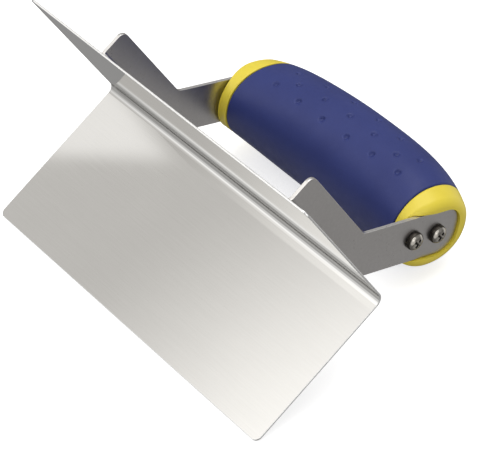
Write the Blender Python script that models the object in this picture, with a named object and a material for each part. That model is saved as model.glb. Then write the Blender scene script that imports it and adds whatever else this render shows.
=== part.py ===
"""Outside corner trowel: a bent sheet blade, two end brackets, a two-material grip and four screws.

Everything is modelled in a tool frame and then laid down as it rests on a table:
X runs along the blade's ridge; the two wings of the blade fill -Y and +Z; the grip stands on +Y -Z.
"out" is the distance from the ridge towards the grip, "lat" is sideways towards the +Z wing.
"""
import math

import bmesh
import bpy
import numpy as np
from mathutils import Matrix, Vector

# ---- driving dimensions, metres ----
BLADE_LENGTH = 0.152
WING = 0.063
SHEET = 0.0008
BEND_INNER = 0.003
CORNER_RADIUS = 0.0025

PLATE = 0.0014
PLATE_OUTER_X = 0.0527
ARM_DEPTH = 0.0137
ARM_REACH = 0.0423
ARM_CORNER = 0.003
NOTCH_FILLET = 0.0035
STEM_HALF = 0.0091
STEM_TIP = 0.0565
STEM_TIP_RADIUS = 0.0074
FOLD_INNER = 0.0015
FLANGE = 0.011
FLANGE_START = 0.0105
RELIEF_RADIUS = 0.0062

GAP = 0.0003

GRIP_HALF_MID = 0.0190
GRIP_HALF_END_NEAR = 0.0130
GRIP_HALF_END_FAR = 0.0139
GRIP_TOP = 0.0704
GRIP_TOP_X = -0.020
GRIP_TOP_DROP_NEAR = 0.0095
GRIP_TOP_DROP_FAR = 0.0062
GRIP_BOTTOM = 0.0341
GRIP_BOTTOM_DROP = 0.0046
GRIP_POWER = 2.12
RIM_PROUD = 0.0010
RIM_ROUND = 0.0024
RIM_DROP = 0.0032
RIM_LEVEL_FROM = 0.0440
RIM_DROP_SPAN = 0.0130
RIM_BLEND = 0.0042
SLEEVE_HALF_LENGTH = 0.0460
SLEEVE_WALL = 0.0018
SLEEVE_EDGE = 0.0007
POCKET_FROM = 0.0200

SCREW_OUTS = (0.0357, 0.0468)
HEAD_RADIUS = 0.0035
HEAD_HEIGHT = 0.0026
SHANK_RADIUS = 0.0016
SHANK_LENGTH = 0.0095

DIMPLE_PITCH = 0.0136
DIMPLE_ROW_ANGLES = (80.5, 103.5, 129.0)
DIMPLE_ROW_TURNS = (6.5, 2.0, -9.5)
DIMPLE_BALL = 0.0022
DIMPLE_DEPTH = 0.00055

AROUND = 56
R2 = math.sqrt(0.5)


# ---- helpers ----
def clear_scene():
    for obj in list(bpy.data.objects):
        bpy.data.objects.remove(obj, do_unlink=True)


def material(name, color, roughness, metallic):
    mat = bpy.data.materials.new(name)
    mat.use_nodes = True
    shader = mat.node_tree.nodes["Principled BSDF"]
    shader.inputs["Base Color"].default_value = (*color, 1.0)
    shader.inputs["Roughness"].default_value = roughness
    shader.inputs["Metallic"].default_value = metallic
    return mat


def to_object(name, bm, mat, smooth_angle=None):
    bmesh.ops.recalc_face_normals(bm, faces=bm.faces)
    mesh = bpy.data.meshes.new(name)
    bm.to_mesh(mesh)
    bm.free()
    obj = bpy.data.objects.new(name, mesh)
    bpy.context.scene.collection.objects.link(obj)
    if mat:
        mesh.materials.append(mat)
    if smooth_angle is not None:
        mesh.shade_smooth()
        mesh.set_sharp_from_angle(angle=math.radians(smooth_angle))
    return obj


def cutter(name, bm):
    obj = to_object(name, bm, None)
    obj.hide_render = True
    obj.display_type = "WIRE"
    return obj


def cut(obj, tool):
    mod = obj.modifiers.new("cut " + tool.name, "BOOLEAN")
    mod.operation = "DIFFERENCE"
    mod.solver = "EXACT"
    mod.object = tool


def place(out, lat):
    """(Y, Z) of a point given by its distance out from the ridge and its sideways distance."""
    return (out + lat) * R2, (lat - out) * R2


def arc(centre, radius, start, end, steps):
    """Points of an arc in a plane, angles in degrees."""
    found = []
    for i in range(steps + 1):
        a = math.radians(start + (end - start) * i / steps)
        found.append((centre[0] + radius * math.cos(a), centre[1] + radius * math.sin(a)))
    return found


def prism(bm, outline, x0, x1):
    """A closed prism over an outline of (Y, Z) points."""
    low = [bm.verts.new((x0, y, z)) for y, z in outline]
    high = [bm.verts.new((x1, y, z)) for y, z in outline]
    bm.faces.new(low)
    bm.faces.new(high)
    for i in range(len(outline)):
        j = (i + 1) % len(outline)
        bm.faces.new((low[i], low[j], high[j], high[i]))
    return low, high


# ---- blade ----
def blade(mat):
    outer = BEND_INNER + SHEET
    c = (-BEND_INNER, BEND_INNER)
    outline = [(-WING, 0.0), (-WING, -SHEET)]
    outline += arc(c, outer, -90, 0, 10)
    outline += [(SHEET, WING), (0.0, WING)]
    outline += arc(c, BEND_INNER, 0, -90, 10)
    bm = bmesh.new()
    half = BLADE_LENGTH / 2
    prism(bm, outline, -half, half)
    corners = []
    for edge in bm.edges:
        a, b = (v.co for v in edge.verts)
        at_end = abs(abs(a.x) - half) < 1e-6 and abs(a.x - b.x) < 1e-6
        tip_y = abs(a.y + WING) < 1e-6 and abs(b.y + WING) < 1e-6
        tip_z = abs(a.z - WING) < 1e-6 and abs(b.z - WING) < 1e-6
        if at_end and (tip_y or tip_z):
            corners.append(edge)
    bmesh.ops.bevel(bm, geom=corners, offset=CORNER_RADIUS, segments=6, affect="EDGES", profile=0.5)
    return to_object("blade", bm, mat, 35)


# ---- brackets ----
def half_bracket_outline():
    """(out, lat) points of the +lat half of a bracket plate, from the ridge side out to the stem's tip."""
    back = SHEET + GAP
    fold = back + FOLD_INNER + PLATE
    c_out = -BEND_INNER / R2
    # Relief around the blade's bend, then the tab, then the fold line of the arm.
    relief = []
    y_tab = back + GAP
    end = math.degrees(math.acos((y_tab + BEND_INNER) / RELIEF_RADIUS)) + 45
    for i in range(7):
        a = math.radians(end * i / 6)
        relief.append((c_out + RELIEF_RADIUS * math.cos(a), RELIEF_RADIUS * math.sin(a)))

    def ol(y, z):
        return (y - z) * R2, (y + z) * R2

    points = list(relief)
    points.append(ol(y_tab, FLANGE_START - 0.0012))
    points.append(ol(fold, FLANGE_START - 0.0012))
    points.append(ol(fold, FLANGE_START))
    points.append(ol(fold, ARM_REACH))
    points += [ol(y, z) for y, z in arc((ARM_DEPTH - ARM_CORNER, ARM_REACH - ARM_CORNER), ARM_CORNER, 90, 0, 6)]
    # The arm's free edge runs back to the stem and turns into it through a fillet of 45 degrees.
    notch_out = ARM_DEPTH / R2 - STEM_HALF
    reach = NOTCH_FILLET * math.tan(math.radians(22.5))
    centre = (notch_out + reach, STEM_HALF + NOTCH_FILLET)
    for i in range(6):
        a = math.radians(225 + 45 * i / 5)
        points.append((centre[0] + NOTCH_FILLET * math.cos(a), centre[1] + NOTCH_FILLET * math.sin(a)))
    tip = STEM_TIP_RADIUS
    points += [
        (STEM_TIP - tip + tip * math.sin(t), STEM_HALF - tip + tip * math.cos(t))
        for t in [math.radians(90 * i / 8) for i in range(9)]
    ]
    return points


def bracket(name, side, mat):
    """side +1 or -1: which end of the grip. The flanges fold towards the middle."""
    half = half_bracket_outline()
    full = half + [(o, -l) for o, l in reversed(half) if abs(l) > 1e-7]
    outline = [place(o, l) for o, l in full]
    outer = side * PLATE_OUTER_X
    inner = side * (PLATE_OUTER_X - PLATE)
    bm = bmesh.new()
    front, rear = prism(bm, outline, outer, inner)
    back = SHEET + GAP
    fold = back + FOLD_INNER + PLATE
    x_axis = side * (PLATE_OUTER_X - PLATE - FOLD_INNER)

    def fold_strip(map_point):
        """Grows the flange from the fold edge of one arm."""
        ends = [map_point(fold, FLANGE_START), map_point(fold, ARM_REACH)]

        def find(verts, yz):
            return min(verts, key=lambda v: (v.co.y - yz[0]) ** 2 + (v.co.z - yz[1]) ** 2)

        ring = [find(front, ends[0]), find(front, ends[1]), find(rear, ends[1]), find(rear, ends[0])]
        face = next(f for f in bm.faces if set(f.verts) == set(ring))
        bm.faces.remove(face)
        stations = []
        for i in range(1, 6):
            a = math.radians(90 * i / 5)
            big = FOLD_INNER + PLATE
            stations.append(
                (
                    (x_axis + side * big * math.cos(a), fold - big * math.sin(a)),
                    (x_axis + side * FOLD_INNER * math.cos(a), fold - FOLD_INNER * math.sin(a)),
                    0.0,
                )
            )
        for length, trim in ((FLANGE - 0.003, 0.0), (FLANGE, 0.003)):
            x = x_axis - side * length
            stations.append(((x, back), (x, back + PLATE), trim))
        for far, near, trim in stations:
            low, high = FLANGE_START + trim, ARM_REACH - trim
            new = [
                bm.verts.new((far[0], *map_point(far[1], low))),
                bm.verts.new((far[0], *map_point(far[1], high))),
                bm.verts.new((near[0], *map_point(near[1], high))),
                bm.verts.new((near[0], *map_point(near[1], low))),
            ]
            for i in range(4):
                j = (i + 1) % 4
                bm.faces.new((ring[i], ring[j], new[j], new[i]))
            ring = new
        bm.faces.new(ring)

    fold_strip(lambda y, z: (y, z))
    fold_strip(lambda y, z: (-z, -y))
    obj = to_object(name, bm, mat, 35)
    holes = bmesh.new()
    for out in SCREW_OUTS:
        rod(holes, out, outer + side * 0.001, inner - side * 0.001, SHANK_RADIUS + GAP, 24)
    cut(obj, cutter(name + "_holes", holes))
    return obj


def rod(bm, out, x0, x1, radius, segments):
    y, z = place(out, 0.0)
    ring = [
        (y + radius * math.cos(2 * math.pi * i / segments), z + radius * math.sin(2 * math.pi * i / segments))
        for i in range(segments)
    ]
    prism(bm, ring, x0, x1)


# ---- grip ----
def grip_size(x):
    """(half width, top, bottom) of the grip's section at x."""
    end = GRIP_HALF_END_NEAR if x > 0 else GRIP_HALF_END_FAR
    power = 3.8 if x > 0 else 1.9
    reach = PLATE_OUTER_X + RIM_PROUD
    half = GRIP_HALF_MID - (GRIP_HALF_MID - end) * abs(x / reach) ** power
    away = x - GRIP_TOP_X
    drop = GRIP_TOP_DROP_NEAR if away > 0 else GRIP_TOP_DROP_FAR
    span = reach - GRIP_TOP_X if away > 0 else reach + GRIP_TOP_X
    top = GRIP_TOP - drop * abs(away / span) ** 4.6
    bottom = GRIP_BOTTOM - GRIP_BOTTOM_DROP * abs(x / reach) ** 1.8
    return half, top, bottom


def section(x, inset, around=AROUND):
    """Points of the grip's section at x, shrunk by inset. Angle 0 is the top, 90 is the +lat flank."""
    half, top, bottom = grip_size(x)
    a = (top - bottom) / 2 - inset
    b = half - inset
    mid = (top + bottom) / 2
    points = []
    for i in range(around):
        t = 2 * math.pi * i / around
        c, s = math.cos(t), math.sin(t)
        out = mid + a * math.copysign(abs(c) ** (2 / GRIP_POWER), c)
        lat = b * math.copysign(abs(s) ** (2 / GRIP_POWER), s)
        points.append(Vector((x, *place(out, lat))))
    return points


def loft_ring(bm, stations):
    """Skins sections into a tube wall. stations: (x, inset), and the last one joins the first."""
    rings = [[bm.verts.new(p) for p in section(x, inset)] for x, inset in stations]
    for one, two in zip(rings, rings[1:] + rings[:1]):
        for i in range(AROUND):
            j = (i + 1) % AROUND
            bm.faces.new((one[i], one[j], two[j], two[i]))


def spread(x0, x1, count):
    return [x0 + (x1 - x0) * i / count for i in range(count + 1)]


def domed(point_x, out):
    """Pulls a point of the core's end in where the rim falls away towards the blade."""
    tip = PLATE_OUTER_X + RIM_PROUD
    share = min(max((abs(point_x) - (tip - RIM_BLEND)) / RIM_BLEND, 0.0), 1.0)
    share = share * share * (3 - 2 * share)
    fall = RIM_DROP * (max(RIM_LEVEL_FROM - out, 0.0) / RIM_DROP_SPAN) ** 1.57
    return point_x - math.copysign(min(fall, RIM_BLEND - 0.0006) * share, point_x)


def core_ring(x, inset, scale=1.0):
    """A ring of the core at x, shrunk by inset and then scaled about its centre."""
    half, top, bottom = grip_size(x)
    a = ((top - bottom) / 2 - inset) * scale
    b = (half - inset) * scale
    middle = (top + bottom) / 2
    points = []
    for i in range(AROUND):
        t = 2 * math.pi * i / AROUND
        c, s = math.cos(t), math.sin(t)
        out = middle + a * math.copysign(abs(c) ** (2 / GRIP_POWER), c)
        lat = b * math.copysign(abs(s) ** (2 / GRIP_POWER), s)
        points.append(Vector((domed(x, out), *place(out, lat))))
    return points


def grip_core(mat):
    tip = PLATE_OUTER_X + RIM_PROUD
    collar = SLEEVE_HALF_LENGTH + GAP
    neck = SLEEVE_WALL + GAP
    near = [(collar, neck, 1.0), (collar, 0.0004, 1.0)]
    near += [(x, 0.0, 1.0) for x in spread(collar + 0.0004, tip - RIM_ROUND, 5)]
    near += [
        (tip - RIM_ROUND + RIM_ROUND * math.sin(t), RIM_ROUND * (1 - math.cos(t)), 1.0)
        for t in [math.radians(90 * i / 5) for i in range(1, 6)]
    ]
    near += [(tip, RIM_ROUND, scale) for scale in (0.8, 0.55, 0.3)]
    stations = [(-x, n, scale) for x, n, scale in reversed(near)]
    stations += [(x, neck, 1.0) for x in spread(-collar, collar, 8)[1:-1]]
    stations += near
    bm = bmesh.new()
    rings = [[bm.verts.new(p) for p in core_ring(*station)] for station in stations]
    for one, two in zip(rings, rings[1:]):
        for i in range(AROUND):
            j = (i + 1) % AROUND
            bm.faces.new((one[i], one[j], two[j], two[i]))
    for ring, side in ((rings[0], -1), (rings[-1], 1)):
        half, top, bottom = grip_size(tip * side)
        middle = (top + bottom) / 2
        centre = bm.verts.new((domed(tip * side, middle), *place(middle, 0.0)))
        for i in range(AROUND):
            bm.faces.new((ring[i], ring[(i + 1) % AROUND], centre))
    obj = to_object("grip_core", bm, mat, 40)
    seat = PLATE_OUTER_X - PLATE - GAP
    edge = STEM_HALF + GAP
    radius = STEM_TIP_RADIUS + GAP
    tip_out = STEM_TIP + GAP
    outline = [(POCKET_FROM, edge)]
    outline += [
        (tip_out - radius + radius * math.sin(t), edge - radius + radius * math.cos(t))
        for t in [math.radians(90 * i / 8) for i in range(9)]
    ]
    outline = outline + [(o, -l) for o, l in reversed(outline) if abs(l) > 1e-7]
    for label, side in (("right", 1), ("left", -1)):
        pocket = bmesh.new()
        prism(pocket, [place(o, l) for o, l in outline], side * seat, side * (tip + 0.004))
        cut(obj, cutter("pocket_" + label, pocket))
        pilots = bmesh.new()
        for out in SCREW_OUTS:
            rod(pilots, out, side * (seat + 0.001), side * (PLATE_OUTER_X - SHANK_LENGTH), SHANK_RADIUS + GAP, 24)
        cut(obj, cutter("pilots_" + label, pilots))
    return obj


def grip_sleeve(mat):
    half = SLEEVE_HALF_LENGTH
    edge = SLEEVE_EDGE
    outer = [(-half, edge), (-half + edge * 0.3, edge * 0.3)]
    outer += [(x, 0.0) for x in spread(-half + edge, half - edge, 24)]
    outer += [(half - edge * 0.3, edge * 0.3), (half, edge)]
    inner = [(x, SLEEVE_WALL) for x in spread(half, -half, 8)]
    bm = bmesh.new()
    loft_ring(bm, outer + inner)
    obj = to_object("grip_sleeve", bm, mat, 40)
    pits = bmesh.new()
    for row, (angle, turn) in enumerate(zip(DIMPLE_ROW_ANGLES, DIMPLE_ROW_TURNS)):
        places = (-2, -1, 0, 1, 2) if row == 1 else (-2.5, -1.5, -0.5, 0.5, 1.5, 2.5)
        for step in places:
            for flank in (1, -1):
                pit(pits, step * DIMPLE_PITCH, (angle + turn * (step / 2.5) ** 2) * flank)
    cut(obj, cutter("grip_dimples", pits))
    return obj


def surface_point(x, degrees):
    half, top, bottom = grip_size(x)
    t = math.radians(degrees)
    c, s = math.cos(t), math.sin(t)
    out = (top + bottom) / 2 + (top - bottom) / 2 * math.copysign(abs(c) ** (2 / GRIP_POWER), c)
    lat = half * math.copysign(abs(s) ** (2 / GRIP_POWER), s)
    return Vector((x, *place(out, lat)))


def pit(bm, x, degrees):
    p = surface_point(x, degrees)
    along = surface_point(x + 0.0005, degrees) - surface_point(x - 0.0005, degrees)
    across = surface_point(x, degrees + 0.5) - surface_point(x, degrees - 0.5)
    normal = along.cross(across).normalized()
    half, top, bottom = grip_size(x)
    middle = Vector((x, *place((top + bottom) / 2, 0.0)))
    if normal.dot(p - middle) < 0:
        normal.negate()
    centre = p + normal * (DIMPLE_BALL - DIMPLE_DEPTH)
    turn = normal.to_track_quat("Z", "Y").to_matrix().to_4x4()
    bmesh.ops.create_uvsphere(
        bm, u_segments=12, v_segments=12, radius=DIMPLE_BALL, matrix=Matrix.Translation(centre) @ turn
    )


# ---- screws ----
def screw(name, side, out, mat):
    """A pan-head cross-recess screw along X, head outside."""
    y, z = place(out, 0.0)
    base = PLATE_OUTER_X + GAP
    profile = [(0.0, base - SHANK_LENGTH)]
    profile += [(SHANK_RADIUS * 0.25, base - SHANK_LENGTH), (SHANK_RADIUS, base - SHANK_LENGTH + 0.0022)]
    profile += [(SHANK_RADIUS, base), (HEAD_RADIUS - 0.0001, base), (HEAD_RADIUS, base + 0.0002)]
    for i in range(7):
        a = math.radians(90 * i / 6)
        profile.append((HEAD_RADIUS * math.cos(a) ** 0.8 if i < 6 else 0.0,
                        base + 0.0009 + (HEAD_HEIGHT - 0.0009) * math.sin(a)))
    bm = bmesh.new()
    count = 28
    rings = []
    for r, x in profile:
        if r == 0.0:
            rings.append([bm.verts.new((side * x, y, z))])
            continue
        rings.append(
            [
                bm.verts.new((side * x, y + r * math.cos(2 * math.pi * i / count),
                              z + r * math.sin(2 * math.pi * i / count)))
                for i in range(count)
            ]
        )
    for one, two in zip(rings, rings[1:]):
        for i in range(count):
            j = (i + 1) % count
            if len(one) == 1:
                bm.faces.new((one[0], two[j], two[i]))
            elif len(two) == 1:
                bm.faces.new((one[i], one[j], two[0]))
            else:
                bm.faces.new((one[i], one[j], two[j], two[i]))
    obj = to_object(name, bm, mat, 40)
    deep = base + HEAD_HEIGHT - 0.0017
    high = base + HEAD_HEIGHT + 0.0006
    cross = bmesh.new()
    arm, wide, foot, narrow = 0.0021, 0.00048, 0.0007, 0.0003

    def blade_points(length, width):
        return [(length, width), (width, width), (width, length), (-width, length), (-width, width),
                (-length, width), (-length, -width), (-width, -width), (-width, -length),
                (width, -length), (width, -width), (length, -width)]

    turn = math.radians(20)
    levels = []
    for x, length, width in ((deep, foot, narrow), (high, arm, wide)):
        levels.append(
            [
                cross.verts.new((side * x, y + p * math.cos(turn) - q * math.sin(turn),
                                 z + p * math.sin(turn) + q * math.cos(turn)))
                for p, q in blade_points(length, width)
            ]
        )
    cross.faces.new(levels[0])
    cross.faces.new(levels[1])
    for i in range(12):
        j = (i + 1) % 12
        cross.faces.new((levels[0][i], levels[0][j], levels[1][j], levels[1][i]))
    cut(obj, cutter(name + "_recess", cross))
    return obj


# ---- lay the tool down ----
def lay_down(objects):
    """Turns the tool about X until a wing's free edge and the grip both touch the table, then sets it on Z = 0."""
    bpy.context.view_layer.update()
    graph = bpy.context.evaluated_depsgraph_get()
    clouds = {}
    for obj in objects:
        mesh = obj.evaluated_get(graph).to_mesh()
        points = np.empty(len(mesh.vertices) * 3)
        mesh.vertices.foreach_get("co", points)
        clouds[obj.name] = points.reshape(-1, 3)
        obj.evaluated_get(graph).to_mesh_clear()

    def lowest(name, angle):
        p = clouds[name]
        return (p[:, 1] * math.sin(angle) + p[:, 2] * math.cos(angle)).min()

    low, high = math.radians(15), math.radians(50)
    for _ in range(50):
        middle = (low + high) / 2
        if lowest("blade", middle) > lowest("grip_sleeve", middle):
            low = middle
        else:
            high = middle
    turn = Matrix.Rotation(middle, 4, "X")
    every = np.concatenate(list(clouds.values()))
    spun = every @ np.array(turn.to_3x3()).T
    lo, hi = spun.min(axis=0), spun.max(axis=0)
    shift = Vector((-(lo[0] + hi[0]) / 2, -(lo[1] + hi[1]) / 2, -lo[2]))
    for obj in bpy.data.objects:
        obj.matrix_world = Matrix.Translation(shift) @ turn
    return middle, shift


clear_scene()
STEEL = material("blade_steel", (0.72, 0.72, 0.72), 0.3, 1.0)
BRACKET = material("bracket_steel", (0.45, 0.44, 0.43), 0.4, 1.0)
YELLOW = material("yellow_plastic", (0.78, 0.6, 0.04), 0.45, 0.0)
BLUE = material("blue_rubber", (0.035, 0.045, 0.2), 0.6, 0.0)
ZINC = material("screw_steel", (0.6, 0.58, 0.55), 0.25, 1.0)

parts = [
    blade(STEEL),
    bracket("bracket_right", 1, BRACKET),
    bracket("bracket_left", -1, BRACKET),
    grip_core(YELLOW),
    grip_sleeve(BLUE),
]
for end_name, end_side in (("right", 1), ("left", -1)):
    for where, out_at in zip(("inner", "outer"), SCREW_OUTS):
        parts.append(screw("screw_" + end_name + "_" + where, end_side, out_at, ZINC))
ANGLE, SHIFT = lay_down(parts)
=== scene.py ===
"""Outside corner trowel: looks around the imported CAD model."""
import math

import bmesh
import bpy
from mathutils import Matrix, Vector


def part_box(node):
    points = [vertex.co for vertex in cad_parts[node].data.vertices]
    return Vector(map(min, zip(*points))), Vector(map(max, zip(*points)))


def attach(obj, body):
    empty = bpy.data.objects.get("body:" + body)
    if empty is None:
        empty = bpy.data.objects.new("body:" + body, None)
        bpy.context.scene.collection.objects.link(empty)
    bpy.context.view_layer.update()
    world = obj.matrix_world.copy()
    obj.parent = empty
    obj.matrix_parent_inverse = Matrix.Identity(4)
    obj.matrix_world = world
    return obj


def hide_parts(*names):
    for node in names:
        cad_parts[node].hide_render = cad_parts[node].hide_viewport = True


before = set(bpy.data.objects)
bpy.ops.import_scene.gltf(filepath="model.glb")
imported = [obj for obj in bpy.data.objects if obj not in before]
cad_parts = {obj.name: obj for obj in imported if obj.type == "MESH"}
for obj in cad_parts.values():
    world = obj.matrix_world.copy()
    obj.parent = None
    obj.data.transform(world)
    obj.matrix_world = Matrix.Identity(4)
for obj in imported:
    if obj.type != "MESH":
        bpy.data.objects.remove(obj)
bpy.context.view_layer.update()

# ---- sizes of the tool, metres, the same as in the CAD ----
BLADE_LENGTH = 0.152
WING = 0.063
SHEET = 0.0008
BEND_INNER = 0.003
CORNER_RADIUS = 0.0025
PLATE = 0.0014
PLATE_OUTER_X = 0.0527
ARM_DEPTH = 0.0137
ARM_REACH = 0.0423
ARM_CORNER = 0.003
NOTCH_FILLET = 0.0035
STEM_HALF = 0.0091
STEM_TIP = 0.0565
STEM_TIP_RADIUS = 0.0074
FOLD_INNER = 0.0015
FLANGE = 0.011
FLANGE_START = 0.0105
RELIEF_RADIUS = 0.0062
GAP = 0.0003
GRIP_HALF_MID = 0.0190
GRIP_HALF_END_NEAR = 0.0130
GRIP_HALF_END_FAR = 0.0139
GRIP_TOP = 0.0704
GRIP_TOP_X = -0.020
GRIP_TOP_DROP_NEAR = 0.0095
GRIP_TOP_DROP_FAR = 0.0062
GRIP_BOTTOM = 0.0341
GRIP_BOTTOM_DROP = 0.0046
GRIP_POWER = 2.12
RIM_PROUD = 0.0010
RIM_ROUND = 0.0024
RIM_DROP = 0.0032
RIM_LEVEL_FROM = 0.0440
RIM_DROP_SPAN = 0.0130
RIM_BLEND = 0.0042
SLEEVE_HALF_LENGTH = 0.0460
SLEEVE_WALL = 0.0018
SLEEVE_EDGE = 0.0007
POCKET_FROM = 0.0200
SCREW_OUTS = (0.0357, 0.0468)
HEAD_RADIUS = 0.0035
HEAD_HEIGHT = 0.0026
SHANK_RADIUS = 0.0016
SHANK_LENGTH = 0.0095
DIMPLE_PITCH = 0.0136
DIMPLE_ROW_ANGLES = (80.5, 103.5, 129.0)
DIMPLE_ROW_TURNS = (6.5, 2.0, -9.5)

# ---- small details, metres unless they are powers ----
SHEET_SOFT_EDGE = 0.00022
TAB_OVERLAP = 0.0012
FOOT_CORNER = 0.003
GRIP_END_POWER_NEAR = 3.8
GRIP_END_POWER_FAR = 1.9
GRIP_TOP_POWER = 4.6
GRIP_BOTTOM_POWER = 1.8
RIM_DROP_POWER = 1.57
RIM_LEAST = 0.0006
DIMPLE_REACH = 0.0015
DIMPLE_DEPTH = 0.00085
DIMPLE_POWER = 1.8
THREAD_TURNS = 11
THREAD_STEP = 0.00035
TIP_LENGTH = 0.0022
HEAD_SIDE = 0.0005
HEAD_POWER = 0.95
RECESS_DEPTH = 0.0018
RECESS_PAST = 0.0006
RECESS_TURN = math.radians(20)
RECESS_ARM, RECESS_WIDE = 0.0022, 0.00055
RECESS_FOOT, RECESS_NARROW = 0.0008, 0.0004

# ---- worked out from the sizes ----
R2 = math.sqrt(0.5)
GRIP_REACH = PLATE_OUTER_X + RIM_PROUD
FOOT_BACK = SHEET + GAP
FOLD_FACE = FOOT_BACK + FOLD_INNER + PLATE


# ---- where the tool lies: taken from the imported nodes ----
def middle(node):
    low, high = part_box(node)
    return [(a + b) / 2 for a, b in zip(low, high)]


inner_screw, outer_screw = middle("screw_right_inner"), middle("screw_right_outer")
TILT = math.radians(45) + math.atan2(outer_screw[2] - inner_screw[2], outer_screw[1] - inner_screw[1])
blade_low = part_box("blade")[0]
SHIFT = Vector((
    0.0,
    blade_low[1] + WING * math.cos(TILT),
    blade_low[2] + WING * math.sin(TILT) + SHEET * math.cos(TILT),
))
TO_WORLD = Matrix.Translation(SHIFT) @ Matrix.Rotation(TILT, 4, "X")


# ---- shader node helpers ----
class ShaderTree:
    """Short ways to add and link the nodes of one material or world."""

    def __init__(self, tree):
        self.tree = tree

    def node(self, kind, **settings):
        made = self.tree.nodes.new(kind)
        for key, value in settings.items():
            setattr(made, key, value)
        return made

    def link(self, source, socket):
        self.tree.links.new(source, socket)

    def feed(self, value, socket):
        """Gives a socket a plain number or another node's output."""
        if isinstance(value, float):
            socket.default_value = value
        else:
            self.link(value, socket)

    def math(self, how, first, second):
        made = self.node("ShaderNodeMath", operation=how)
        self.feed(first, made.inputs[0])
        self.feed(second, made.inputs[1])
        return made.outputs[0]

    def map_range(self, value, from_low, from_high, low, high, **settings):
        made = self.node("ShaderNodeMapRange", **settings)
        made.inputs["From Min"].default_value = from_low
        made.inputs["From Max"].default_value = from_high
        made.inputs["To Min"].default_value = low
        made.inputs["To Max"].default_value = high
        self.link(value, made.inputs["Value"])
        return made.outputs["Result"]


class Surface(ShaderTree):
    """One material: its uniform values go straight on the shader, and patterns are linked in."""

    def __init__(self, name, **constants):
        self.mat = bpy.data.materials.new(name)
        self.mat.use_nodes = True
        super().__init__(self.mat.node_tree)
        self.shader = self.tree.nodes["Principled BSDF"]
        for key, value in constants.items():
            self.shader.inputs[key.replace("_", " ")].default_value = value
        self.place = self.node("ShaderNodeTexCoord").outputs["Object"]

    def stretched(self, along, across):
        """Coordinates for a pattern that is stretched along the ridge."""
        mapping = self.node("ShaderNodeMapping")
        mapping.inputs["Scale"].default_value = (along, across, across)
        self.link(self.place, mapping.inputs["Vector"])
        return mapping.outputs["Vector"]

    def noise(self, scale, detail=2.0, rough=0.5, distortion=0.0, at=None):
        made = self.node("ShaderNodeTexNoise")
        made.inputs["Scale"].default_value = scale
        made.inputs["Detail"].default_value = detail
        made.inputs["Roughness"].default_value = rough
        made.inputs["Distortion"].default_value = distortion
        self.link(at or self.place, made.inputs["Vector"])
        return made.outputs["Fac"]

    def blend(self, first, second, share):
        """A mix of two patterns, with this share of the first."""
        return self.math("ADD", self.math("MULTIPLY", first, share), self.math("MULTIPLY", second, 1 - share))

    def tint(self, pattern, dark, light, high=0.7):
        made = self.node("ShaderNodeValToRGB")
        for element, at, color in zip(made.color_ramp.elements, (0.3, high), (dark, light)):
            element.position = at
            element.color = (*color, 1.0)
        self.link(pattern, made.inputs["Fac"])
        self.link(made.outputs["Color"], self.shader.inputs["Base Color"])

    def roughen(self, pattern, low, high):
        self.link(self.map_range(pattern, 0.3, 0.7, low, high), self.shader.inputs["Roughness"])

    def bump(self, *layers):
        """Bumps in layers of (height, strength, distance), the lowest first."""
        normal = None
        for height, strength, distance in layers:
            made = self.node("ShaderNodeBump")
            made.inputs["Strength"].default_value = strength
            made.inputs["Distance"].default_value = distance
            self.link(height, made.inputs["Height"])
            if normal:
                self.link(normal, made.inputs["Normal"])
            normal = made.outputs["Normal"]
        self.link(normal, self.shader.inputs["Normal"])


# ---- materials ----
def sheet_steel(name, dark, light, roughness, grain_scale, grain_bump):
    """Satin sheet with a fine grain along X, faint wipe marks and uneven sheen."""
    steel = Surface(name, Metallic=1.0, IOR=2.5)
    grain = steel.noise(1.0, detail=3.0, rough=0.65, at=steel.stretched(*grain_scale))
    long_grain = steel.noise(1.0, at=steel.stretched(18.0, 1400.0))
    cloud = steel.noise(28.0, detail=3.0, rough=0.55)
    smear = steel.noise(1.0, detail=4.0, rough=0.6, distortion=0.4, at=steel.stretched(30.0, 90.0))
    steel.tint(steel.blend(grain, cloud, 0.55), dark, light)
    steel.roughen(steel.blend(smear, grain, 0.5), *roughness)
    steel.bump((grain, grain_bump, 0.00003), (long_grain, grain_bump, 0.00002))
    return steel.mat


def yellow_plastic():
    yellow = Surface("yellow_moulded_plastic", IOR=1.5, Specular_IOR_Level=0.45,
                     Coat_Weight=0.08, Coat_Roughness=0.25)
    yellow.tint(yellow.noise(60.0, detail=3.0, rough=0.6), (0.75, 0.6, 0.045), (0.8, 0.655, 0.06))
    yellow.roughen(yellow.noise(240.0, detail=3.0, rough=0.6), 0.34, 0.48)
    yellow.bump((yellow.noise(2600.0, rough=0.6), 0.25, 0.00004))
    return yellow.mat


def blue_rubber():
    blue = Surface("blue_soft_rubber", IOR=1.48, Specular_IOR_Level=0.3)
    cloud = blue.noise(45.0, detail=4.0, rough=0.6)
    speck = blue.noise(1700.0, rough=0.7)
    blue.tint(blue.blend(cloud, speck, 0.7), (0.024, 0.034, 0.148), (0.032, 0.045, 0.182))
    blue.roughen(blue.noise(300.0, detail=4.0, rough=0.6), 0.36, 0.5)
    blue.bump((blue.noise(520.0), 0.2, 0.00008), (speck, 0.35, 0.00006))
    return blue.mat


def screw_metal(name, dark, bright, roughness):
    metal = Surface(name, Metallic=1.0, IOR=2.5)
    wear = metal.noise(700.0, detail=4.0, rough=0.6)
    metal.tint(wear, dark, bright, high=0.65)
    metal.roughen(wear, *roughness)
    metal.bump((metal.noise(2400.0), 0.15, 0.00003))
    return metal.mat


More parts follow.
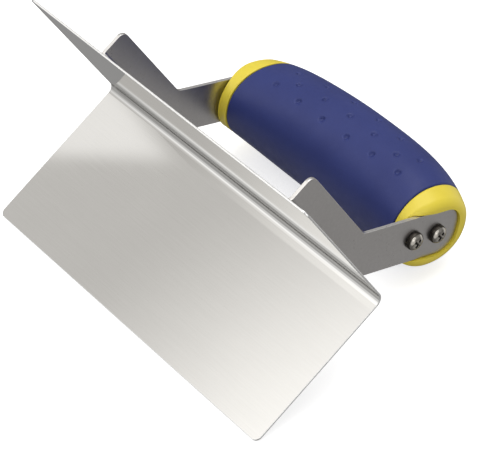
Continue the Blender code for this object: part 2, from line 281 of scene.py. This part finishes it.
BLADE_FACE = sheet_steel("blade_satin_face", (0.555, 0.55, 0.535), (0.59, 0.585, 0.57),
                         (0.02, 0.05), (60.0, 2600.0), 0.006)
# The blade's cut edges are much lighter than its faces: partly the ground finish, partly a painted highlight
# along the edges.
BLADE_EDGE_HIGHLIGHT = sheet_steel("blade_ground_edge_painted_highlight", (0.8, 0.8, 0.8), (0.93, 0.93, 0.92),
                         (0.22, 0.36), (900.0, 900.0), 0.2)
PLATE_FACE = sheet_steel("bracket_satin_face", (0.5, 0.485, 0.475), (0.58, 0.565, 0.555),
                         (0.26, 0.36), (420.0, 900.0), 0.1)
# The brackets' cut edges are much lighter than their faces: partly the cut finish, partly a painted highlight
# along the edges.
PLATE_EDGE_HIGHLIGHT = sheet_steel("bracket_cut_edge_painted_highlight", (0.7, 0.68, 0.66), (0.88, 0.87, 0.85),
                         (0.25, 0.4), (2200.0, 500.0), 0.3)
YELLOW = yellow_plastic()
BLUE = blue_rubber()
SCREW = screw_metal("screw_bright_plating", (0.3, 0.28, 0.25), (0.56, 0.53, 0.48), (0.06, 0.16))
# Near-black metal for the screw recesses and the ring round each head's base: painted shade.
SCREW_PAINTED_SHADE = screw_metal("screw_recess_shadowed", (0.03, 0.027, 0.024), (0.09, 0.08, 0.07), (0.3, 0.5))


# ---- mesh helpers ----
def finished_mesh(name, bm):
    bmesh.ops.recalc_face_normals(bm, faces=bm.faces)
    mesh = bpy.data.meshes.new(name)
    bm.to_mesh(mesh)
    bm.free()
    return mesh


def to_piece(name, bm, materials, nodes, smooth=35, weighted=True, paint=None):
    """Turns a finished form into a visual piece in the place of the given CAD nodes."""
    mesh = finished_mesh(name, bm)
    if paint:
        paint(mesh)
    mesh.transform(TO_WORLD)
    piece = bpy.data.objects.new(name, mesh)
    bpy.context.scene.collection.objects.link(piece)
    for mat in materials:
        mesh.materials.append(mat)
    mesh.shade_smooth()
    mesh.set_sharp_from_angle(angle=math.radians(smooth))
    if weighted:
        piece.modifiers.new("weighted", "WEIGHTED_NORMAL").keep_sharp = True
    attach(piece, "root")
    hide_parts(*nodes)
    return piece


def place(out, lat):
    """The (y, z) of a point this far out from the ridge and this far to the side."""
    return (out + lat) * R2, (lat - out) * R2


def out_lat(y, z):
    """The reverse of place."""
    return (y - z) * R2, (y + z) * R2


def spread(start, end, count):
    return [start + (end - start) * i / count for i in range(count + 1)]


def quarter(steps):
    """Angles from none to a right angle."""
    return [math.radians(90 * i / steps) for i in range(steps + 1)]


def arc(centre, radius, start, end, steps):
    angles = [math.radians(start + (end - start) * i / steps) for i in range(steps + 1)]
    return [(centre[0] + radius * math.cos(a), centre[1] + radius * math.sin(a)) for a in angles]


def circle(centre, radius, count):
    angles = [2 * math.pi * i / count for i in range(count)]
    return [(centre[0] + radius * math.cos(a), centre[1] + radius * math.sin(a)) for a in angles]


def stem_end(tip, radius, edge, steps):
    """The rounded corner of a stem that ends at tip and is edge wide to each side."""
    return [(tip - radius + radius * math.sin(a), edge - radius + radius * math.cos(a))
            for a in quarter(steps)]


def both_sides(half):
    """A closed outline from its (out, lat) half, which starts and ends on or beside the middle."""
    return [place(out, lat) for out, lat in half + [(o, -s) for o, s in reversed(half) if abs(s) > 1e-7]]


def level(bm, x, outline):
    return [bm.verts.new((x, y, z)) for y, z in outline]


def bridge(bm, one, two):
    """Joins two rings of points with faces; either ring may be a single point."""
    count = max(len(one), len(two))
    for i in range(count):
        j = (i + 1) % count
        if len(one) == 1:
            bm.faces.new((one[0], two[j], two[i]))
        elif len(two) == 1:
            bm.faces.new((one[i], one[j], two[0]))
        else:
            bm.faces.new((one[i], one[j], two[j], two[i]))


def prism(bm, x0, x1, outline, far_outline=None):
    low = level(bm, x0, outline)
    high = level(bm, x1, far_outline or outline)
    bm.faces.new(low)
    bm.faces.new(high)
    bridge(bm, low, high)
    return low, high


def soften(bm, least):
    """Rounds every edge of a sheet that is sharper than this many degrees."""
    bmesh.ops.recalc_face_normals(bm, faces=bm.faces)
    sharp = [e for e in bm.edges if len(e.link_faces) == 2 and e.calc_face_angle(0) > math.radians(least)]
    bmesh.ops.bevel(bm, geom=sharp, offset=SHEET_SOFT_EDGE, segments=3, affect="EDGES", profile=0.5,
                    clamp_overlap=True)


def carve(bm, tools):
    """Cuts closed meshes out of bm with exact Booleans and gives back the result."""
    scene = bpy.context.scene.collection
    body = bpy.data.objects.new("carved", finished_mesh("carved", bm))
    scene.objects.link(body)
    made = []
    for i, tool in enumerate(tools):
        cutter = bpy.data.objects.new("tool_%d" % i, finished_mesh("tool_%d" % i, tool))
        scene.objects.link(cutter)
        made.append(cutter)
        cut = body.modifiers.new("cut", "BOOLEAN")
        cut.operation = "DIFFERENCE"
        cut.solver = "EXACT"
        cut.object = cutter
    bpy.context.view_layer.update()
    graph = bpy.context.evaluated_depsgraph_get()
    result = bmesh.new()
    result.from_mesh(body.evaluated_get(graph).to_mesh())
    for used in made + [body]:
        mesh = used.data
        bpy.data.objects.remove(used, do_unlink=True)
        bpy.data.meshes.remove(mesh)
    return result


# ---- blade ----
def make_blade():
    bend_centre = (-BEND_INNER, BEND_INNER)
    outline = [(-WING, 0.0), (-WING, -SHEET)]
    outline += arc(bend_centre, BEND_INNER + SHEET, -90, 0, 24)
    outline += [(SHEET, WING), (0.0, WING)]
    outline += arc(bend_centre, BEND_INNER, 0, -90, 24)
    half = BLADE_LENGTH / 2
    bm = bmesh.new()
    prism(bm, -half, half, outline)
    corners = []
    for edge in bm.edges:
        a, b = (v.co for v in edge.verts)
        at_end = abs(abs(a.x) - half) < 1e-6 and abs(a.x - b.x) < 1e-6
        tip_y = abs(a.y + WING) < 1e-6 and abs(b.y + WING) < 1e-6
        tip_z = abs(a.z - WING) < 1e-6 and abs(b.z - WING) < 1e-6
        if at_end and (tip_y or tip_z):
            corners.append(edge)
    bmesh.ops.bevel(bm, geom=corners, offset=CORNER_RADIUS, segments=12, affect="EDGES", profile=0.5)
    soften(bm, 40)

    def paint(mesh):
        for face in mesh.polygons:
            normal, centre = face.normal, face.center
            upper = centre.z > BEND_INNER and abs(normal.y) > 0.9
            lower = centre.y < -BEND_INNER and abs(normal.z) > 0.9
            near_bend = centre.z < BEND_INNER + 0.001 and centre.y > -BEND_INNER - 0.001
            bend = abs(normal.x) < 0.5 and near_bend
            # Faces and the bend take the satin face; cut edges take the lighter edge metal, partly a painted
            # highlight.
            face.material_index = 0 if upper or lower or bend else 1

    to_piece("blade_sheet", bm, [BLADE_FACE, BLADE_EDGE_HIGHLIGHT], ["blade"], paint=paint)


# ---- brackets ----
def half_bracket_outline():
    """Half of a bracket plate as (out, lat): relief over the bend, arm, notch and stem."""
    tab_face = FOOT_BACK + GAP
    relief_end = math.degrees(math.acos((tab_face + BEND_INNER) / RELIEF_RADIUS)) + 45
    points = arc((-BEND_INNER / R2, 0.0), RELIEF_RADIUS, 0, relief_end, 16)
    points.append(out_lat(tab_face, FLANGE_START - TAB_OVERLAP))
    points.append(out_lat(FOLD_FACE, FLANGE_START - TAB_OVERLAP))
    points.append(out_lat(FOLD_FACE, FLANGE_START))
    points.append(out_lat(FOLD_FACE, ARM_REACH))
    arm_corner = (ARM_DEPTH - ARM_CORNER, ARM_REACH - ARM_CORNER)
    points += [out_lat(y, z) for y, z in arc(arm_corner, ARM_CORNER, 90, 0, 14)]
    notch_out = ARM_DEPTH / R2 - STEM_HALF
    reach = NOTCH_FILLET * math.tan(math.radians(22.5))
    points += arc((notch_out + reach, STEM_HALF + NOTCH_FILLET), NOTCH_FILLET, 225, 270, 10)
    return points + stem_end(STEM_TIP, STEM_TIP_RADIUS, STEM_HALF, 16)


def fold_stations(side):
    """Where a foot's sheet passes as it folds inwards: its outer and inner (x, depth), and how much
    of its length the rounded corners take off."""
    axis = side * (PLATE_OUTER_X - PLATE - FOLD_INNER)
    outer = FOLD_INNER + PLATE
    stations = []
    for a in quarter(10)[1:]:
        stations.append((
            (axis + side * outer * math.cos(a), FOLD_FACE - outer * math.sin(a)),
            (axis + side * FOLD_INNER * math.cos(a), FOLD_FACE - FOLD_INNER * math.sin(a)),
            0.0,
        ))
    for a in quarter(6):
        x = axis - side * (FLANGE - FOOT_CORNER * (1 - math.sin(a)))
        stations.append(((x, FOOT_BACK), (x, FOOT_BACK + PLATE), FOOT_CORNER * (1 - math.cos(a))))
    return stations


def nearest(verts, y, z):
    return min(verts, key=lambda v: (v.co.y - y) ** 2 + (v.co.z - z) ** 2)


def fold_foot(bm, front, rear, side, to_yz):
    """Draws one foot out of the plate's edge; to_yz says which wing it lies behind."""
    start, end = to_yz(FOLD_FACE, FLANGE_START), to_yz(FOLD_FACE, ARM_REACH)
    ring = [nearest(front, *start), nearest(front, *end), nearest(rear, *end), nearest(rear, *start)]
    bm.faces.remove(next(f for f in bm.faces if set(f.verts) == set(ring)))
    for outer, inner, trim in fold_stations(side):
        low, high = FLANGE_START + trim, ARM_REACH - trim
        corners = ((outer, low), (outer, high), (inner, high), (inner, low))
        new = [bm.verts.new((x, *to_yz(depth, along))) for (x, depth), along in corners]
        bridge(bm, ring, new)
        ring = new
    bm.faces.new(ring)


def make_bracket(node, side):
    bm = bmesh.new()
    outline = both_sides(half_bracket_outline())
    front, rear = prism(bm, side * PLATE_OUTER_X, side * (PLATE_OUTER_X - PLATE), outline)
    fold_foot(bm, front, rear, side, lambda depth, along: (depth, along))
    fold_foot(bm, front, rear, side, lambda depth, along: (-along, -depth))
    soften(bm, 50)

    def paint(mesh):
        for face in mesh.polygons:
            normal = face.normal
            on_foot = abs(normal.y) > 0.9 or abs(normal.z) > 0.9
            fold_zone = abs(face.center.x) < PLATE_OUTER_X - PLATE - 0.0001
            # Plate faces and feet take the satin face; cut edges take the lighter edge metal, partly a
            # painted highlight.
            face.material_index = 0 if abs(normal.x) > 0.9 or (on_foot and fold_zone) else 1

    to_piece(node + "_plate", bm, [PLATE_FACE, PLATE_EDGE_HIGHLIGHT], [node], paint=paint)


# ---- grip ----
def grip_size(x):
    """The grip's half width, and how far out its top and its bottom are, at x along the ridge."""
    near = x > 0
    end = GRIP_HALF_END_NEAR if near else GRIP_HALF_END_FAR
    power = GRIP_END_POWER_NEAR if near else GRIP_END_POWER_FAR
    half = GRIP_HALF_MID - (GRIP_HALF_MID - end) * abs(x / GRIP_REACH) ** power
    away = x - GRIP_TOP_X
    drop = GRIP_TOP_DROP_NEAR if away > 0 else GRIP_TOP_DROP_FAR
    span = GRIP_REACH - GRIP_TOP_X if away > 0 else GRIP_REACH + GRIP_TOP_X
    top = GRIP_TOP - drop * abs(away / span) ** GRIP_TOP_POWER
    bottom = GRIP_BOTTOM - GRIP_BOTTOM_DROP * abs(x / GRIP_REACH) ** GRIP_BOTTOM_POWER
    return half, top, bottom


def grip_section(x, turn, inset=0.0, scale=1.0):
    """A point of the grip's oval at x, as (out, lat)."""
    half, top, bottom = grip_size(x)
    c, s = math.cos(turn), math.sin(turn)
    power = 2 / GRIP_POWER
    out = (top + bottom) / 2 + ((top - bottom) / 2 - inset) * scale * math.copysign(abs(c) ** power, c)
    lat = (half - inset) * scale * math.copysign(abs(s) ** power, s)
    return out, lat


def grip_point(x, turn, inset=0.0):
    return Vector((x, *place(*grip_section(x, turn, inset))))


def grip_axis(x):
    half, top, bottom = grip_size(x)
    return Vector((x, *place((top + bottom) / 2, 0.0)))


def domed(x, out):
    """Pulls a point of the core's end in where the rim falls away towards the blade."""
    share = min(max((abs(x) - (GRIP_REACH - RIM_BLEND)) / RIM_BLEND, 0.0), 1.0)
    share = share * share * (3 - 2 * share)
    fall = RIM_DROP * (max(RIM_LEVEL_FROM - out, 0.0) / RIM_DROP_SPAN) ** RIM_DROP_POWER
    return x - math.copysign(min(fall, RIM_BLEND - RIM_LEAST) * share, x)


def core_point(x, turn, inset, scale):
    out, lat = grip_section(x, turn, inset, scale)
    return domed(x, out), *place(out, lat)


def core_stations():
    """The core's sections from end to end, as (x, inset, scale): caps, collars and the neck."""
    collar = SLEEVE_HALF_LENGTH + GAP
    neck = SLEEVE_WALL + GAP
    near = [(collar, neck, 1.0), (collar, 0.0004, 1.0), (collar + 0.0001, 0.00018, 1.0),
            (collar + 0.0004, 0.0, 1.0)]
    near += [(x, 0.0, 1.0) for x in spread(collar + 0.0009, GRIP_REACH - RIM_ROUND - 0.0004, 12)]
    near += [(GRIP_REACH - RIM_ROUND + RIM_ROUND * math.sin(a), RIM_ROUND * (1 - math.cos(a)), 1.0)
             for a in quarter(16)]
    near += [(GRIP_REACH, RIM_ROUND, 1.0 - i / 14) for i in range(1, 13)]
    far = [(-x, inset, scale) for x, inset, scale in reversed(near)]
    return far + [(x, neck, 1.0) for x in spread(-collar, collar, 12)[1:-1]] + near


def core_tools(side):
    """What is cut from one end of the core: the stem's pocket and the screws' holes."""
    seat = PLATE_OUTER_X - PLATE - GAP
    edge = STEM_HALF + GAP
    half = [(POCKET_FROM, edge)] + stem_end(STEM_TIP + GAP, STEM_TIP_RADIUS + GAP, edge, 20)
    pocket = bmesh.new()
    prism(pocket, side * seat, side * (GRIP_REACH + 0.004), both_sides(half))
    holes = bmesh.new()
    for out in SCREW_OUTS:
        hole = circle(place(out, 0.0), SHANK_RADIUS + GAP, 32)
        prism(holes, side * (seat + 0.001), side * (PLATE_OUTER_X - SHANK_LENGTH), hole)
    return [pocket, holes]


def make_core(around=192):
    turns = [2 * math.pi * i / around for i in range(around)]
    bm = bmesh.new()
    rings = [[bm.verts.new(core_point(x, turn, inset, scale)) for turn in turns]
             for x, inset, scale in core_stations()]
    for one, two in zip(rings, rings[1:]):
        bridge(bm, one, two)
    for ring, side in ((rings[0], -1), (rings[-1], 1)):
        centre = bm.verts.new(core_point(GRIP_REACH * side, 0.0, RIM_ROUND, 0.0))
        bridge(bm, ring, [centre])
    bm = carve(bm, core_tools(1) + core_tools(-1))
    to_piece("grip_core_moulding", bm, [YELLOW], ["grip_core"], 40)


def dimple_places():
    """Each dimple's x and turn: three rows on each flank, bent a little towards the ends."""
    for row, (angle, turn) in enumerate(zip(DIMPLE_ROW_ANGLES, DIMPLE_ROW_TURNS)):
        steps = (-2, -1, 0, 1, 2) if row == 1 else (-2.5, -1.5, -0.5, 0.5, 1.5, 2.5)
        for step in steps:
            for flank in (1, -1):
                yield step * DIMPLE_PITCH, math.radians((angle + turn * (step / 2.5) ** 2) * flank)


def press_dimple(rings, x, centre):
    """Pushes the rubber round one point in towards the grip's axis."""
    axis = grip_axis(x)
    for ring in rings:
        if abs(ring[0].co.x - x) > DIMPLE_REACH:
            continue
        for v in ring:
            away = (v.co - centre).length / DIMPLE_REACH
            if away < 1:
                fall = 0.5 + 0.5 * math.cos(math.pi * away ** DIMPLE_POWER)
                inward = (Vector((v.co.x, axis.y, axis.z)) - v.co).normalized()
                v.co += inward * DIMPLE_DEPTH * fall


def make_sleeve(around=360):
    half, edge = SLEEVE_HALF_LENGTH, SLEEVE_EDGE
    lip = [(half - edge + edge * math.sin(a), edge * (1 - math.cos(a))) for a in quarter(6)[1:]]
    outer = [(-x, inset) for x, inset in reversed(lip)]
    outer += [(x, 0.0) for x in spread(-half + edge, half - edge, 300)]
    outer += lip
    inner = [(x, SLEEVE_WALL) for x in spread(half, -half, 12)]
    turns = [2 * math.pi * i / around for i in range(around)]
    bm = bmesh.new()
    rings = [[bm.verts.new(grip_point(x, turn, inset)) for turn in turns] for x, inset in outer + inner]
    for one, two in zip(rings, rings[1:] + rings[:1]):
        bridge(bm, one, two)
    for x, turn in dimple_places():
        press_dimple(rings[: len(outer)], x, grip_point(x, turn))
    to_piece("grip_sleeve_rubber", bm, [BLUE], ["grip_sleeve"], 50, weighted=False)


# ---- screws ----
def screw_profile(base):
    """A screw from its tip to the top of its head, as (radius, x)."""
    start = base - SHANK_LENGTH
    x = start + TIP_LENGTH
    profile = [(0.0, start), (SHANK_RADIUS * 0.25, start), (SHANK_RADIUS * 0.75, x)]
    for turn in range(THREAD_TURNS):
        profile += [(SHANK_RADIUS, x + THREAD_STEP * 0.4), (SHANK_RADIUS * 0.74, x + THREAD_STEP)]
        x += THREAD_STEP
    profile += [(SHANK_RADIUS, x + 0.0006), (SHANK_RADIUS, base)]
    profile += [(HEAD_RADIUS - 0.00012, base), (HEAD_RADIUS - 0.00003, base + 0.00004),
                (HEAD_RADIUS, base + 0.0002)]
    rise = HEAD_HEIGHT - HEAD_SIDE
    dome = [(HEAD_RADIUS * math.cos(a) ** HEAD_POWER, base + HEAD_SIDE + rise * math.sin(a))
            for a in quarter(14)[:-1]]
    return profile + dome + [(0.0, base + HEAD_HEIGHT)]


def cross_outline(length, width):
    return [(length, width), (width, width), (width, length), (-width, length), (-width, width),
            (-length, width), (-length, -width), (-width, -width), (-width, -length),
            (width, -length), (width, -width), (length, -width)]


def make_screw(node, side, out):
    y, z = place(out, 0.0)
    base = PLATE_OUTER_X + GAP
    bm = bmesh.new()
    rings = [level(bm, side * x, circle((y, z), radius, 72) if radius else [(y, z)])
             for radius, x in screw_profile(base)]
    for one, two in zip(rings, rings[1:]):
        bridge(bm, one, two)
    cos_turn, sin_turn = math.cos(RECESS_TURN), math.sin(RECESS_TURN)

    def turned_cross(length, width):
        return [(y + p * cos_turn - q * sin_turn, z + p * sin_turn + q * cos_turn)
                for p, q in cross_outline(length, width)]

    deep = base + HEAD_HEIGHT - RECESS_DEPTH
    high = base + HEAD_HEIGHT + RECESS_PAST
    cross = bmesh.new()
    prism(cross, side * deep, side * high,
          turned_cross(RECESS_FOOT, RECESS_NARROW), turned_cross(RECESS_ARM, RECESS_WIDE))
    bm = carve(bm, [cross])

    def paint(mesh):
        """The recess's walls and floor and the head's skirt get the near-black metal, which is painted shade.
        """
        for face in mesh.polygons:
            across, up, x = face.center.y - y, face.center.z - z, side * face.center.x
            p = abs(across * cos_turn + up * sin_turn)
            q = abs(up * cos_turn - across * sin_turn)
            inside = min(p, q) < RECESS_WIDE and max(p, q) < RECESS_ARM and x > deep - 0.0001
            steep = abs(face.normal.x) < 0.5 or x < deep + 0.0001
            skirt = math.hypot(across, up) > HEAD_RADIUS * 0.9 and x > base
            # Recess faces and the head's skirt take the painted shade material.
            face.material_index = int((inside and steep) or skirt)

    to_piece(node + "_turned", bm, [SCREW, SCREW_PAINTED_SHADE], [node], paint=paint)


make_blade()
make_bracket("bracket_right", 1)
make_bracket("bracket_left", -1)
make_core()
make_sleeve()
for end_name, end_side in (("right", 1), ("left", -1)):
    for where, out_at in zip(("inner", "outer"), SCREW_OUTS):
        make_screw("screw_%s_%s" % (end_name, where), end_side, out_at)


# ---- floor, light and camera ----
def make_floor():
    """A pale floor that only camera rays see: the photo's was cut out to white."""
    bm = bmesh.new()
    bmesh.ops.create_grid(bm, x_segments=1, y_segments=1, size=3.0)
    mesh = bpy.data.meshes.new("floor")
    bm.to_mesh(mesh)
    bm.free()
    floor = bpy.data.objects.new("floor", mesh)
    floor.location.z = -0.0002
    bpy.context.scene.collection.objects.link(floor)
    paint = Surface("floor_paint", Roughness=0.85, Specular_IOR_Level=0.15,
                    Emission_Color=(1.0, 1.0, 1.0, 1.0), Emission_Strength=0.7)
    paint.tint(paint.noise(3.0), (0.6, 0.6, 0.6), (0.62, 0.62, 0.62))
    mesh.materials.append(paint.mat)
    floor.visible_glossy = False
    floor.visible_diffuse = False
    floor.visible_shadow = False


def heading(azimuth, elevation):
    """The direction towards this azimuth and elevation, in degrees."""
    a, e = math.radians(azimuth), math.radians(elevation)
    return Vector((math.cos(e) * math.cos(a), math.cos(e) * math.sin(a), math.sin(e)))


class Sky(ShaderTree):
    """The studio's light by direction: an even grey room with round soft boxes and a panel's corner."""

    def __init__(self, brightness, color):
        world = bpy.data.worlds.new("studio")
        bpy.context.scene.world = world
        world.use_nodes = True
        super().__init__(world.node_tree)
        self.direction = self.node("ShaderNodeTexCoord").outputs["Generated"]
        self.total = self.light(brightness, color)

    def light(self, strength, color):
        tint = self.node("ShaderNodeVectorMath", operation="SCALE")
        tint.inputs[0].default_value = color
        self.feed(strength, tint.inputs["Scale"])
        return tint.outputs["Vector"]

    def add(self, strength, color):
        both = self.node("ShaderNodeVectorMath", operation="ADD")
        self.link(self.total, both.inputs[0])
        self.link(self.light(strength, color), both.inputs[1])
        self.total = both.outputs["Vector"]

    def disc(self, azimuth, elevation, radius, soft, level=1.0):
        """This level within radius degrees of a direction, and none beyond, with a soft edge."""
        dot = self.node("ShaderNodeVectorMath", operation="DOT_PRODUCT")
        dot.inputs[1].default_value = heading(azimuth, elevation)
        self.link(self.direction, dot.inputs[0])
        away = self.node("ShaderNodeMath", operation="ARCCOSINE")
        self.link(dot.outputs["Value"], away.inputs[0])
        return self.map_range(away.outputs[0], math.radians(radius - soft), math.radians(radius + soft),
                              level, 0.0, interpolation_type="SMOOTHSTEP")

    def round_box(self, azimuth, elevation, radius, soft, level, color=(1.0, 1.0, 1.0)):
        self.add(self.disc(azimuth, elevation, radius, soft, level), color)

    def corner_box(self, sides, soft, level, color=(1.0, 1.0, 1.0)):
        """The corner of a large panel: all that lies within a right angle of every side's direction."""
        lit = self.disc(*sides[0], 90, soft)
        for side in sides[1:]:
            lit = self.math("MULTIPLY", lit, self.disc(*side, 90, soft))
        self.add(self.math("MULTIPLY", lit, level), color)

    def finish(self):
        """Lights the scene with the sky, and shows a plain white backdrop behind the floor."""
        light = self.tree.nodes["Background"]
        self.link(self.total, light.inputs["Color"])
        backdrop = self.node("ShaderNodeBackground")
        backdrop.inputs["Color"].default_value = (1.0, 1.0, 1.0, 1.0)
        either = self.node("ShaderNodeMixShader")
        self.link(self.node("ShaderNodeLightPath").outputs["Is Camera Ray"], either.inputs["Fac"])
        self.link(light.outputs["Background"], either.inputs[1])
        self.link(backdrop.outputs["Background"], either.inputs[2])
        self.link(either.outputs["Shader"], self.tree.nodes["World Output"].inputs["Surface"])


def make_light():
    sky = Sky(0.37, (1.0, 0.99, 0.98))
    sky.round_box(206, 48, 25, 11, 0.5, (1.0, 0.97, 0.93))
    sky.round_box(257.5, 51.5, 28.8, 3.9, 0.95, (1.0, 0.995, 0.98))
    sky.round_box(256, 9, 31.5, 5, 0.6)
    sky.round_box(239, 24, 15.7, 7, 0.7)
    sky.round_box(234, -31, 29, 10.6, 0.4)
    sky.corner_box(((117.5, 0), (256.3, -34.5), (10, 65)), 0.3, 0.5)
    sky.round_box(350, 28, 22, 6, 1.1)
    sky.round_box(340, -8, 24, 8, 0.75)
    sky.round_box(0, -90, 90, 8, -0.2)
    sky.round_box(36, -40, 30, 10, 0.22)
    sky.round_box(85, -12, 25, 8, 0.6)
    sky.round_box(156, -42, 22, 8, 0.14)
    sky.round_box(100, 72, 27, 7, 2.2)
    sky.finish()
    bpy.context.scene.view_settings.view_transform = "Standard"


def make_camera(azimuth, elevation, roll, distance, aim):
    """A long lens; azimuth and elevation say where it stands from its aim, in degrees."""
    data = bpy.data.cameras.new("camera")
    data.lens = 167.92
    data.sensor_width = 36.0
    data.clip_end = 20.0
    camera = bpy.data.objects.new("camera", data)
    bpy.context.scene.collection.objects.link(camera)
    stand = Matrix.Translation(Vector(aim) + distance * heading(azimuth, elevation))
    for degrees, axis in ((azimuth + 90, "Z"), (90 - elevation, "X"), (roll, "Z")):
        stand = stand @ Matrix.Rotation(math.radians(degrees), 4, axis)
    camera.matrix_world = stand
    bpy.context.scene.camera = camera


make_floor()
make_light()
make_camera(-36.63, 41.21, -2.44, 0.7882, (0.01153, -0.01581, 0.02227))
